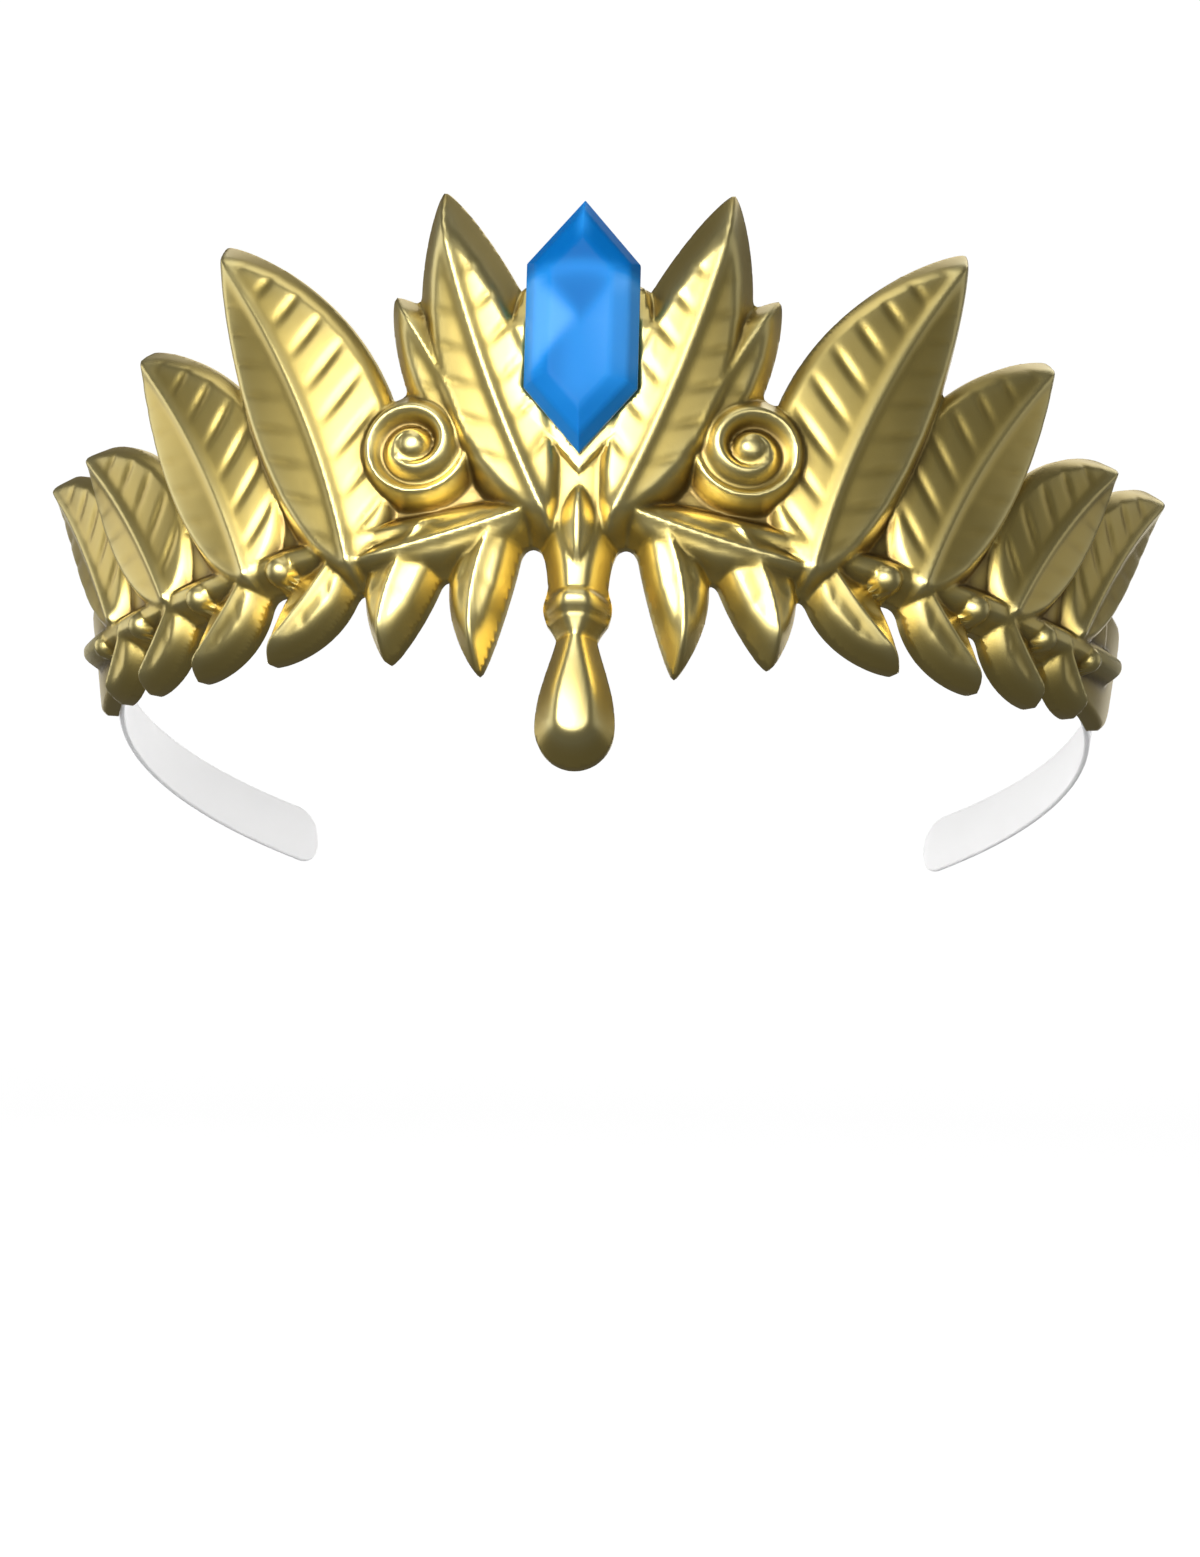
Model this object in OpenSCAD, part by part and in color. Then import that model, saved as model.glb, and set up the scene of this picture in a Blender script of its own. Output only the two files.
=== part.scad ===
// Diadem of gold leaves, moulded in one hollow-backed piece, with a long blue stone above the
// brow and two soft straps that run back from the temples.
// It is modelled as it is worn: X to the wearer's left, -Y to the front, Z up, millimetres.
// The origin is the middle of the head opening, at the level of the band.
// The wall is laid out flat first: u runs round the head from the middle of the brow, w runs up
// the wall from the band line, and r stands out from the wall's inner face.

/* [Head opening] */
// Half the width of the head opening, at the temples
head_half_width = 84; // [74:1:96]
// Half the depth of the head opening, from brow to crown
head_half_depth = 80; // [70:1:96]
// How far the band line dips towards the back, in degrees
band_tilt = 20; // [5:1:30]
// How far the wall leans outward, in degrees
wall_flare = 8; // [0:1:14]
// How much further the wall leans out at the temples, at the height of the crest
temple_lean = 10.5; // [0:0.5:16]

/* [Moulding] */
// Length of one side along the band line, from the middle of the brow to the end of the leaves
side_length = 118; // [100:1:135]
// Height of the crest leaves above the band line
crest_height = 55.5; // [46:0.5:66]
// Length of the drop below the band line
drop_length = 39; // [34:0.5:50]
// Thickness of the moulded wall
wall = 1.8; // [1.4:0.1:2.6]
// How far the highest leaf edge stands out from the base of the relief
relief = 6.2; // [4:0.1:8]
// Half the width of the largest leaf
leaf_half_width = 12; // [10:0.2:14]
// Height of the fold along the middle of a leaf
leaf_fold = 1.5; // [0.6:0.1:2.4]

/* [Branch] */
// Half the width of the branch that the side leaves grow from
branch_half_width = 3.4; // [2.4:0.1:4.4]
// Height of the middle of the branch line, below the band line
branch_drop = 4; // [2:0.5:7]
// Radius of the largest berry
berry_radius = 2.5; // [1.6:0.1:3.2]

/* [Scroll] */
// Outer radius of the scroll beside the stone
scroll_radius = 10.2; // [8:0.1:12]
// Distance between two turns of the scroll
scroll_pitch = 4.8; // [3.6:0.1:6]

/* [Drop] */
// Radius of the round end of the drop
drop_radius = 6.4; // [5:0.1:7.5]
// Half the width of the drop's neck
neck_half_width = 4.6; // [3.6:0.1:5.4]
// Radius of the collar on the neck
collar_radius = 3.6; // [2.8:0.1:4.2]

/* [Stone] */
// Width of the stone across its straight sides
stone_width = 18; // [14:0.5:22]
// Height of the stone from point to point
stone_height = 41; // [34:0.5:48]
// Height of each pointed end
stone_point = 10.5; // [7:0.5:14]
// Thickness of the stone from its back to its table
stone_depth = 8.2; // [6:0.1:10]
// Height of the stone's lower point above the band line
stone_rise = 9.5; // [7:0.5:13]
// Gap between the stone and its seat
stone_gap = 0.2; // [0.1:0.05:0.4]

/* [Tab and straps] */
// Length of the plain tab at each end
tab_length = 25; // [18:1:32]
// Height of the tab
tab_height = 19; // [15:0.5:24]
// Width of a strap
strap_width = 10.5; // [8:0.5:14]
// Thickness of a strap
strap_thickness = 1; // [0.8:0.1:1.6]
// Length of a strap, with the end behind the tab
strap_length = 96; // [70:1:120]
// How much of the strap lies behind the tab
strap_hold = 20; // [12:1:22]
// How far the free end of a strap hangs below the middle of the tab
strap_fall = 6.5; // [0:0.5:12]
// Gap between a strap and the tab
strap_gap = 0.2; // [0.1:0.05:0.4]

/* [Hidden] */

// Mesh of the wall: cells on one side, and cells from the lowest point to the highest
side_cells = 56;
up_cells = 45;
mesh_margin = 3;
crossing_min = 0.15;

// Blends: where outlines join, where faces meet, and where a face turns down to the edge
outline_fillet = 1.3;
valley_fillet = 0.8;
edge_round = 0.8;
edge_draft = 2.2;
nowhere = -30;

// Shape of a leaf: its widest place is at foot_power / (foot_power + tip_power)
foot_power = 0.62;
tip_power = 0.85;
widest = foot_power / (foot_power + tip_power);
leaf_norm = pow(widest, foot_power) * pow(1 - widest, tip_power);
slope_cap = 6;

// Heights of the faces and of what stands on them, as shares of the relief
tab_face = 0.15 * relief;
seat_face = 0.52 * relief;
lip_face = 0.74 * relief;
lip_foot = 0.32 * relief;
branch_face = 0.13 * relief;
berry_face = 0.39 * relief;
scroll_face = 0.63 * relief;
scroll_ridge = 0.34 * relief;
scroll_eye = 0.45 * relief;
drop_face = 0.38 * relief;
collar_face = 0.44 * relief;
// Swell of the rounded pieces, as a share of their half width
branch_swell = 0.85;
berry_swell = 1.15;
drop_swell = 0.62;
collar_swell = 0.9;

arc_radius = (head_half_width + head_half_depth) / 2;
arc_per_degree = arc_radius * PI / 180;
wall_low = -drop_length - mesh_margin;
u_step = (side_length + 2 * mesh_margin) / side_cells;
w_step = (crest_height + drop_length + 2 * mesh_margin) / up_cells;

// Seat of the stone, and the raised lip round its lower half
stone_half = stone_width / 2;
stone_mid = stone_rise + stone_height / 2;
seat_margin = stone_half / 3;
seat_top = stone_rise + 0.72 * stone_height;
seat_taper = 3 * seat_margin;
pocket_clearance = 0.5;
lip_half = seat_margin / 2;
lip_offset = 2 * seat_margin / 3;
lip_top = seat_top - seat_margin;

// Tabs, and where the straps start behind them
tab_middle = [side_length - 0.36 * tab_length, -0.01 * tab_height];
tab_corner = 0.32 * tab_height;
strap_start = tab_middle[0] + tab_length / 2 - strap_hold;
strap_middle = tab_middle[1] - 0.13 * tab_height;
strap_corner = 0.38 * strap_width;

// The branch, which is lowest at branch_low, and the web behind the feet of the leaves
branch_start = 0.12 * side_length;
branch_end = side_length - 2 * branch_half_width;
branch_low = 0.64 * side_length;
branch_rise = [0.04 * crest_height, 0.09 * crest_height];
berry_drop = 0.4 * branch_half_width;
web_low = 0.12 * crest_height;
web_high = 0.155 * crest_height;
web_lift = 0.055 * crest_height;
web_end = side_length - 2 * web_high;

// The scroll: its middle, the crest of its outer turn, and the place where its ridge begins
scroll_middle = [stone_half + 1.5 * scroll_radius, 1.2 * scroll_radius];
scroll_rim = scroll_radius - 0.37 * scroll_pitch;
scroll_start = 0.16 * scroll_radius;
scroll_fade = 0.15 * scroll_radius;
scroll_eye_radius = 0.27 * scroll_radius;

// The drop: middle of its round end, its waist, and the neck that widens upward from there
drop_middle = drop_radius - drop_length;
drop_top = -0.41 * drop_length;
drop_waist = 0.6 * neck_half_width;
waist_length = 0.07 * drop_length;
collar_height = -0.35 * drop_length;
collar_stretch = 1.45;
neck_start = -0.31 * drop_length;
neck_top = 0.1 * drop_length;
neck_widening = 0.8 * neck_half_width;
neck_reach = 0.35 * drop_length;

// Side leaves. Columns: foot along the side, foot height, tip along the side, tip height,
// half width, bow, height of the front edge, height of the back edge.
// Shares of side_length, crest_height, leaf_half_width and relief; the bow is a share of the width.
SIDE_LEAVES = [
    [0.765, -0.07, 0.990, 0.585, 0.74, 0.28, 0.20, 0.68],
    [0.605, -0.11, 0.825, 0.545, 0.82, 0.28, 0.20, 0.76],
    [0.448, -0.13, 0.652, 0.735, 0.92, 0.28, 0.20, 0.87],
    [0.290, -0.16, 0.491, 0.96, 1.00, 0.30, 0.20, 1.00],
];
// Leaves below the branch. The same columns, with heights as shares of drop_length.
LOWER_LEAVES = [
    [0.305, -0.02, 0.455, -0.46, 0.46, -0.25, 0.16, 0.48],
    [0.450, -0.04, 0.600, -0.44, 0.45, -0.25, 0.16, 0.46],
    [0.595, -0.04, 0.735, -0.39, 0.42, -0.25, 0.16, 0.42],
    [0.735, -0.04, 0.860, -0.32, 0.38, -0.25, 0.16, 0.36],
    [0.085,  0.10, 0.132, -0.62, 0.42,  0.50, 0.40, 0.46],
    [0.185,  0.05, 0.262, -0.54, 0.50,  0.35, 0.36, 0.50],
    [0.008,  0.10, 0.356, -0.145, 0.42, -0.44, 0.55, 0.55],
    [0.000,  0.19, 0.000, -0.34, 0.42,  0.00, 0.86, 0.86],
];
// Crest leaves beside the stone. The same columns, but the places along the side are counted
// from the stone's straight side, in shares of leaf_half_width.
CREST_LEAVES = [
    [0.50, 0.16, 1.620, 0.70, 0.54, 0.20, 0.42, 0.66],
    [-0.50, -0.08, 0.98, 1.00, 0.80, -0.22, 0.95, 0.78],
];
// Berries. Columns: place along the side as a share of side_length, size as a share of berry_radius.
BERRIES = [
    [0.405, 1.00],
    [0.552, 0.96],
    [0.694, 0.92],
    [0.826, 0.84],
];

// Rows of a leaf table as [foot, tip, half width, bow, front height, back height] in millimetres
function leaf_rows(table, start, along, up) = [
    for (row = table)
        [
            [start + row[0] * along, row[1] * up],
            [start + row[2] * along, row[3] * up],
            row[4] * leaf_half_width,
            row[4] * row[5] * leaf_half_width,
            row[6] * relief,
            row[7] * relief
        ]
];
leaves = concat(
    leaf_rows(SIDE_LEAVES, 0, side_length, crest_height),
    leaf_rows(LOWER_LEAVES, 0, side_length, drop_length),
    leaf_rows(CREST_LEAVES, stone_half, leaf_half_width, crest_height)
);
berries = [for (row = BERRIES) [row[0] * side_length, row[1] * berry_radius]];

function smooth_max(a, b, k) = max(a, b) + pow(max(k - abs(a - b), 0), 2) / (4 * k);
function smooth_min(a, b, k) = -smooth_max(-a, -b, k);
function clamp(x, low, high) = min(max(x, low), high);
function dome(share) = sqrt(max(1 - share * share, 0));
// Smooth greatest value of a list
function smooth_top(v, k, i = 1, m = undef) =
    i == 1 ? smooth_top(v, k, 2, smooth_max(v[0], v[1], k))
    : i == len(v) ? m
    : smooth_top(v, k, i + 1, smooth_max(m, v[i], k));

// A place of the flat layout, set in the worn frame
function place(u, w, r) =
    let (
        angle = u / arc_per_degree,
        normal = [head_half_depth * sin(angle), -head_half_width * cos(angle)],
        lean = temple_lean * pow(min(abs(u) / side_length, 1), 6) * pow(max(w, 0) / crest_height, 2),
        out = normal / norm(normal) * (w * sin(wall_flare) + lean + r),
        x = head_half_width * sin(angle) + out[0],
        y = -head_half_depth * cos(angle) + out[1],
        z = w * cos(wall_flare)
    )
    [
        x,
        y * cos(band_tilt) + z * sin(band_tilt),
        z * cos(band_tilt) - y * sin(band_tilt)
    ];

// Every element of the relief gives [how far inside its outline a place lies, its face there]
function drafted(reach, face) = [reach, smooth_min(face, edge_draft * reach, edge_round)];

function leaf(u, w, row) =
    let (
        run = row[1] - row[0],
        length = norm(run),
        axis = run / length,
        du = u - row[0][0],
        dw = w - row[0][1],
        along = (du * axis[0] + dw * axis[1]) / length,
        side = du * axis[1] - dw * axis[0]
    )
    along < -0.4 || along > 1.4 || abs(side) > 3 * row[2] ? [nowhere, nowhere]
    : let (
        t = clamp(along, 0, 1),
        across = side + 4 * row[3] * t * (1 - t),
        te = clamp(along, 0.002, 0.998),
        half = row[2] * pow(te, foot_power) * pow(1 - te, tip_power) / leaf_norm,
        slope = half * (foot_power / te - tip_power / (1 - te)) / length,
        past = max(along - 1, -along, 0) * length,
        reach = (half - abs(across)) / sqrt(1 + min(slope * slope, slope_cap)) - past,
        edge = clamp(abs(across) / max(half, 0.5), 0, 1),
        ramp = 0.5 + 0.5 * clamp(across / row[2], -1, 1)
    )
    drafted(reach, row[4] + (row[5] - row[4]) * ramp + leaf_fold * (1 - edge));

function tab(u, w) =
    let (
        qu = abs(u - tab_middle[0]) - tab_length / 2 + tab_corner,
        qw = abs(w - tab_middle[1]) - tab_height / 2 + tab_corner
    )
    drafted(tab_corner - norm([max(qu, 0), max(qw, 0)]) - min(max(qu, qw), 0), tab_face);

// Distance inside the outline of the stone
function stone_reach(u, w) =
    let (rise = stone_height / 2 - abs(w - stone_mid))
    min(
        stone_half - abs(u),
        (rise * stone_half - abs(u) * stone_point) / norm([stone_half, stone_point])
    );

// Share of its full width that the rim of the seat keeps, which runs out towards its top
function seat_share(w) = clamp((seat_top - w) / seat_taper, 0, 1);

function seat(u, w) =
    drafted(min(stone_reach(u, w) + seat_margin * seat_share(w), seat_top - w), seat_face);

// Face of the seat, flat across the stone although the wall is curved
function seat_plane(u) = seat_face + head_half_depth * (1 - cos(u / arc_per_degree));

function lip(u, w) =
    let (
        off = stone_reach(u, w) + lip_offset * seat_share(w),
        reach = min(lip_half * seat_share(w) - abs(off), lip_top - w)
    )
    [reach, smooth_min(lip_face + lip_half * dome(off / lip_half), lip_foot + 3 * reach, edge_round)];

// Height of the branch line, which rises to both ends
function branch_line(u) =
    let (off = (u - branch_low) / (side_length - branch_low))
    branch_rise[off < 0 ? 0 : 1] * off * off - branch_drop;

function branch(u, w) =
    let (
        run = clamp(u, branch_start, branch_end),
        off = norm([w - branch_line(run), u - run]),
        face = branch_face + branch_swell * branch_half_width * dome(off / branch_half_width)
    )
    drafted(branch_half_width - off, face);

// Thin web behind the feet of the leaves and the scroll
function web(u, w) =
    let (
        run = clamp(u, 0, web_end),
        rise = w - branch_line(u) - web_lift
    )
    drafted((rise > 0 ? web_high : web_low) - norm([u - run, rise]), tab_face);

function scroll(u, w) =
    let (
        du = u - scroll_middle[0],
        dw = w - scroll_middle[1],
        radius = norm([du, dw]),
        turn = atan2(dw, -du) / 360 - 0.75,
        phase = (radius - scroll_rim) / scroll_pitch - turn,
        ridge = (0.5 + 0.5 * cos(360 * phase)) * clamp((radius - scroll_start) / scroll_fade, 0, 1),
        face = scroll_face + scroll_ridge * ridge + scroll_eye * dome(radius / scroll_eye_radius)
    )
    drafted(scroll_radius - radius, face);

function drop(u, w) =
    let (
        x = abs(u),
        low_end = w < drop_middle,
        fall = clamp((drop_top - w) / (drop_top - drop_middle), 0, 1),
        tear = drop_waist + (drop_radius - drop_waist) * pow(sin(90 * fall), 1.6),
        joint = (neck_half_width - drop_waist) * clamp((w - drop_top) / waist_length + 1, 0, 1),
        shoulder = clamp((w - neck_start) / (neck_top - neck_start), 0, 1),
        neck = neck_half_width + neck_widening * shoulder * shoulder,
        half = w > drop_top ? neck : tear + joint,
        radius = norm([x, w - drop_middle]),
        reach = low_end ? drop_radius - radius : min(half - x, neck_reach - w),
        share = low_end ? radius / drop_radius : x / half,
        body = low_end ? drop_radius : w > drop_top ? neck_half_width : half
    )
    drafted(reach, drop_face + drop_swell * body * dome(share));

function collar(u, w) =
    let (reach = collar_radius - norm([u / collar_stretch, w - collar_height]))
    drafted(reach, collar_face + collar_swell * collar_radius * dome(1 - reach / collar_radius));

function berry(u, w, row) =
    let (reach = row[1] - norm([u - row[0], w - branch_line(row[0]) + berry_drop]))
    [reach, reach > 0 ? berry_face + berry_swell * row[1] * dome(1 - reach / row[1]) : nowhere];

// Outline and face of the whole relief at one place of a side
function relief_at(u, w) =
    let (
        parts = concat(
            [tab(u, w), web(u, w), seat(u, w), branch(u, w)],
            [for (row = leaves) leaf(u, w, row)],
            [scroll(u, w), drop(u, w), collar(u, w), lip(u, w)],
            [for (row = berries) berry(u, w, row)]
        ),
        reach = smooth_top([for (part = parts) part[0]], outline_fillet),
        face = max(smooth_top([for (part = parts) part[1]], valley_fillet), 0),
        in_pocket = stone_reach(u, w) > -pocket_clearance
    )
    [reach, in_pocket ? min(face, seat_plane(u)) : face];

// The moulded piece. The relief is sampled on one side and mirrored, cut along its outline,
// and closed with an equal back face one wall further in.
module shell() {
    field = [
        for (i = [0:side_cells])
            [for (j = [0:up_cells]) relief_at(i * u_step, wall_low + j * w_step)]
    ];
    column = up_cells + 1;
    total = (2 * side_cells + 1) * column;
    reach = [for (g = [0:total - 1]) field[abs(floor(g / column) - side_cells)][g % column][0]];
    face = [for (g = [0:total - 1]) field[abs(floor(g / column) - side_cells)][g % column][1]];
    solid = [for (r = reach) r > 0 ? 1 : 0];
    u_cut = [for (g = [0:total - 1]) g < total - column && solid[g] != solid[g + column] ? 1 : 0];
    w_cut = [for (g = [0:total - 1]) g % column < up_cells && solid[g] != solid[g + 1] ? 1 : 0];
    solid_rank = running_sum(solid);
    u_rank = running_sum(u_cut);
    w_rank = running_sum(w_cut);
    inner = solid_rank[total - 1];
    u_first = inner;
    w_first = inner + u_rank[total - 1];

    function flat(g) = [(floor(g / column) - side_cells) * u_step, wall_low + (g % column) * w_step];
    function between(g, h) =
        let (t = clamp(reach[g] / (reach[g] - reach[h]), crossing_min, 1 - crossing_min))
        flat(g) * (1 - t) + flat(h) * t;
    spots = concat(
        [for (g = [0:total - 1]) if (solid[g] == 1) [each flat(g), face[g]]],
        [for (g = [0:total - 1]) if (u_cut[g] == 1) [each between(g, g + column), 0]],
        [for (g = [0:total - 1]) if (w_cut[g] == 1) [each between(g, g + 1), 0]]
    );
    count = len(spots);

    // Corners of the wall inside one cell, in order round it
    function ring(g) =
        let (
            a = g,
            b = g + column,
            c = g + column + 1,
            d = g + 1
        )
        [
            if (solid[a] == 1) solid_rank[a] - 1,
            if (u_cut[a] == 1) u_first + u_rank[a] - 1,
            if (solid[b] == 1) solid_rank[b] - 1,
            if (w_cut[b] == 1) w_first + w_rank[b] - 1,
            if (solid[c] == 1) solid_rank[c] - 1,
            if (u_cut[d] == 1) u_first + u_rank[d] - 1,
            if (solid[d] == 1) solid_rank[d] - 1,
            if (w_cut[a] == 1) w_first + w_rank[a] - 1
        ];
    rings = [
        for (g = [0:total - column - 1])
            if (g % column < up_cells)
                let (r = ring(g))
                if (len(r) > 2) level_ring(r, spots)
    ];
    triangles = [for (r = rings) for (k = [1:len(r) - 2]) [r[0], r[k], r[k + 1]]];
    edges = [
        for (r = rings)
            for (k = [0:len(r) - 1])
                let (next = r[(k + 1) % len(r)])
                if (r[k] >= inner && next >= inner) [r[k], next]
    ];
    points = concat(
        [for (s = spots) place(s[0], s[1], s[2] + wall)],
        [for (s = spots) place(s[0], s[1], s[2])]
    );
    faces = concat(
        [for (t = triangles) [t[0], t[2], t[1]]],
        [for (t = triangles) [t[0] + count, t[1] + count, t[2] + count]],
        [for (e = edges) [e[0], e[1], e[1] + count]],
        [for (e = edges) [e[0], e[1] + count, e[0] + count]]
    );
    color("goldenrod")
        polyhedron(points = points, faces = faces, convexity = 10);
}

// Running sum of a list, with each place's own value counted
function running_sum(v) = [for (i = 0, s = v[0]; i < len(v); i = i + 1, s = s + (i < len(v) ? v[i] : 0)) s];

// A whole cell is turned so that its fan splits it along its more level diagonal
function level_ring(r, spots) =
    len(r) != 4 ? r
    : abs(spots[r[0]][2] - spots[r[2]][2]) <= abs(spots[r[1]][2] - spots[r[3]][2]) ? r
    : [r[1], r[2], r[3], r[0]];

// A closed skin over a stack of rings of equal length
module skinned(rings) {
    sides = len(rings[0]);
    last = len(rings) - 1;
    walls = [
        for (i = [0:last - 1])
            for (k = [0:sides - 1])
                let (
                    a = i * sides + k,
                    b = i * sides + (k + 1) % sides
                )
                each [[a, b, b + sides], [a, b + sides, a + sides]]
    ];
    first_cap = [for (k = [sides - 1:-1:0]) k];
    last_cap = [for (k = [0:sides - 1]) last * sides + k];
    polyhedron(points = [for (r = rings) each r], faces = concat(walls, [first_cap], [last_cap]));
}

// Outline of the stone drawn in by an inset, at a height above its back
function stone_ring(inset, height) =
    let (
        half = stone_half - inset,
        skew = norm([stone_half, stone_point]) / stone_half,
        tip = stone_height / 2 - inset * skew,
        shoulder = tip - half * stone_point / stone_half
    )
    [
        for (p = [[0, tip], [half, shoulder], [half, -shoulder], [0, -tip], [-half, -shoulder], [-half, shoulder]])
            [p[0], -height, p[1] + stone_mid]
    ];

module stone() {
    color("dodgerblue")
        rotate([-band_tilt, 0, 0])
        translate([0, -head_half_depth - wall - seat_face, 0])
        rotate([wall_flare, 0, 0])
        skinned([
            stone_ring(0.25 * stone_half, stone_gap),
            stone_ring(0, stone_gap + 0.36 * stone_depth),
            stone_ring(0, stone_gap + 0.48 * stone_depth),
            stone_ring(0.17 * stone_half, stone_gap + 0.80 * stone_depth),
            stone_ring(0.46 * stone_half, stone_gap + stone_depth)
        ]);
}

// A flat strip that follows the head from behind the tab to a rounded free end
module strap(side) {
    half = strap_width / 2;
    body_steps = 22;
    end_steps = 5;
    runs = concat(
        [for (i = [0:body_steps]) (strap_length - strap_corner) * i / body_steps],
        [for (i = [1:end_steps]) strap_length - strap_corner + strap_corner * sin(86 * i / end_steps)]
    );
    rings = [
        for (run = runs)
            let (
                past = max(run - strap_length + strap_corner, 0),
                wide = half - strap_corner * (1 - dome(past / strap_corner)),
                middle = strap_middle - strap_fall * pow(run / strap_length, 1.5),
                u = side * (strap_start + run)
            )
            [
                place(u, middle - side * wide, -strap_gap - strap_thickness),
                place(u, middle - side * wide, -strap_gap),
                place(u, middle + side * wide, -strap_gap),
                place(u, middle + side * wide, -strap_gap - strap_thickness)
            ]
    ];
    color("gainsboro")
        skinned(rings);
}

module strap_left() {
    strap(1);
}

module strap_right() {
    strap(-1);
}

shell();
stone();
strap_left();
strap_right();
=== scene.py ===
"""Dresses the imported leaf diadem: the gold moulding in fine relief, the stone and the two straps.

The relief is laid out flat first. u runs round the head from the middle of the brow, w runs up the
wall from the band line, and r stands out from the wall's inner face. All three are in millimetres.
"""
import math

import bmesh
import bpy
import numpy as np
from mathutils import Matrix, Vector


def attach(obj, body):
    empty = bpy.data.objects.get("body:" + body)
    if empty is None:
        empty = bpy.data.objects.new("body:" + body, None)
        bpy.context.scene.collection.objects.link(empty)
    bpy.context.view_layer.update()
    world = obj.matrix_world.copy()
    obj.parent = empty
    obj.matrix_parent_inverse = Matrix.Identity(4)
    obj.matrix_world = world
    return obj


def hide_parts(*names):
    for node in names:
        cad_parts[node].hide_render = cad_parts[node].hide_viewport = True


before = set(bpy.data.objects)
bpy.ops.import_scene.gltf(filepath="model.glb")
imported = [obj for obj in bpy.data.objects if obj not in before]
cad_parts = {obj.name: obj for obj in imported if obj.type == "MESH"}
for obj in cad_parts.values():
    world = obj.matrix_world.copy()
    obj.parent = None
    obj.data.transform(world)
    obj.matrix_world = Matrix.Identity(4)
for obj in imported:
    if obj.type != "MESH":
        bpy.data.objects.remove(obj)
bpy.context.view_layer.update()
MM = 0.001

# Driving sizes of the part
HEAD_HALF_WIDTH = 84.0
HEAD_HALF_DEPTH = 80.0
BAND_TILT = math.radians(20.0)
WALL_FLARE = math.radians(8.0)
TEMPLE_LEAN = 10.5
SIDE_LENGTH = 118.0
CREST_HEIGHT = 55.5
DROP_LENGTH = 39.0
WALL = 1.8
RELIEF = 6.2
LEAF_HALF_WIDTH = 12.0
LEAF_FOLD = 1.5
BRANCH_HALF_WIDTH = 3.4
BRANCH_DROP = 4.0
BERRY_RADIUS = 2.5
SCROLL_RADIUS = 10.2
SCROLL_PITCH = 4.8
DROP_RADIUS = 6.4
NECK_HALF_WIDTH = 4.6
COLLAR_RADIUS = 3.6
STONE_WIDTH = 18.0
STONE_HEIGHT = 41.0
STONE_POINT = 10.5
STONE_DEPTH = 8.2
STONE_RISE = 9.5
STONE_GAP = 0.2
TAB_LENGTH = 25.0
TAB_HEIGHT = 19.0
STRAP_WIDTH = 10.5
STRAP_THICKNESS = 1.0
STRAP_LENGTH = 96.0
STRAP_HOLD = 20.0
STRAP_FALL = 6.5
STRAP_GAP = 0.2

# Radius of the mean arc round the head, and how fast the wall leans out towards the temples
ARC_RADIUS = (HEAD_HALF_WIDTH + HEAD_HALF_DEPTH) / 2
LEAN_POWER = 6

# Blends between elements, rounding and slope of their edges, and a face far below all the others
OUTLINE_FILLET = 1.3
VALLEY_FILLET = 0.8
EDGE_ROUND = 1.3
EDGE_DRAFT = 1.75
NOWHERE = -30.0

# Heights of the faces, and swell of the round ones as a share of their half width
TAB_FACE = 0.15 * RELIEF
SEAT_FACE = 0.52 * RELIEF
LIP_FACE = 0.74 * RELIEF
LIP_FOOT = 0.32 * RELIEF
BRANCH_FACE = 0.13 * RELIEF
BERRY_FACE = 0.39 * RELIEF
SCROLL_FACE = 0.63 * RELIEF
SCROLL_RIDGE = 0.34 * RELIEF
SCROLL_EYE = 0.45 * RELIEF
DROP_FACE = 0.38 * RELIEF
COLLAR_FACE = 0.50 * RELIEF
BRANCH_SWELL = 0.85
BERRY_SWELL = 1.15
DROP_SWELL = 0.62
COLLAR_SWELL = 0.9

# Outline of a leaf: powers that shape its foot and tip, its widest place, limits near its ends,
# and rounding of the fold along its middle
FOOT_POWER = 0.62
TIP_POWER = 0.85
WIDEST = FOOT_POWER / (FOOT_POWER + TIP_POWER)
LEAF_NORM = WIDEST ** FOOT_POWER * (1 - WIDEST) ** TIP_POWER
LEAF_END = 0.002
LEAF_HALF_MIN = 0.5
SLOPE_CAP = 6.0
FOLD_ROUND = 0.35

# Half width and middle of the stone
STONE_HALF = STONE_WIDTH / 2
STONE_MID = STONE_RISE + STONE_HEIGHT / 2
# Rings of the stone: inset as a share of its half width, and height as a share of its depth
STONE_LEVELS = ((0.25, 0.0), (0.0, 0.36), (0.0, 0.48), (0.17, 0.80), (0.46, 1.0))
# Roundings of the stone's edges, as size and steps, and the angle at which a facet's edge stays
FRONT_EDGES = (0.6, 3)
OTHER_EDGES = (0.12, 2)
FACET_ANGLE = math.radians(15)
# Long edges of the stone are cut, so that its painted reflections have room
LONG_EDGE = 2.0
LONG_EDGE_CUTS = 19
# Painted reflections of the stone, standing in for facets inside it: its even tone, what each
# field adds or takes away, and the tone of its foot
TONE_EVEN = 0.5
TONE_LEFT = 0.48
TONE_RIGHT = 0.22
PAINTED_HIGHLIGHT_SPOT = 0.25
TONE_GLOW = 0.1
TONE_UPPER = 0.38
TONE_LOW_LEFT = 0.28
PAINTED_TIP_HIGHLIGHT = 0.55
TONE_FOOT = 0.24
TONE_BLUR = 0.06
SOFT_LIMIT = 30

# Seat of the stone, the cup that meets its back, and the lip round it
SEAT_MARGIN = STONE_HALF / 3
SEAT_TOP = STONE_RISE + 0.72 * STONE_HEIGHT
SEAT_TAPER = 3 * SEAT_MARGIN
CUP_GAP = 0.25
LIP_HALF = SEAT_MARGIN / 2
LIP_OFFSET = 0.55 * SEAT_MARGIN
LIP_TOP = SEAT_TOP - 0.4 * SEAT_MARGIN
LIP_EDGE = LIP_HALF / 3
LIP_DRAFT = 3
LIP_TAPER = 0.35
LIP_TAPER_START = LIP_TOP - 2 * SEAT_MARGIN
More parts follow.
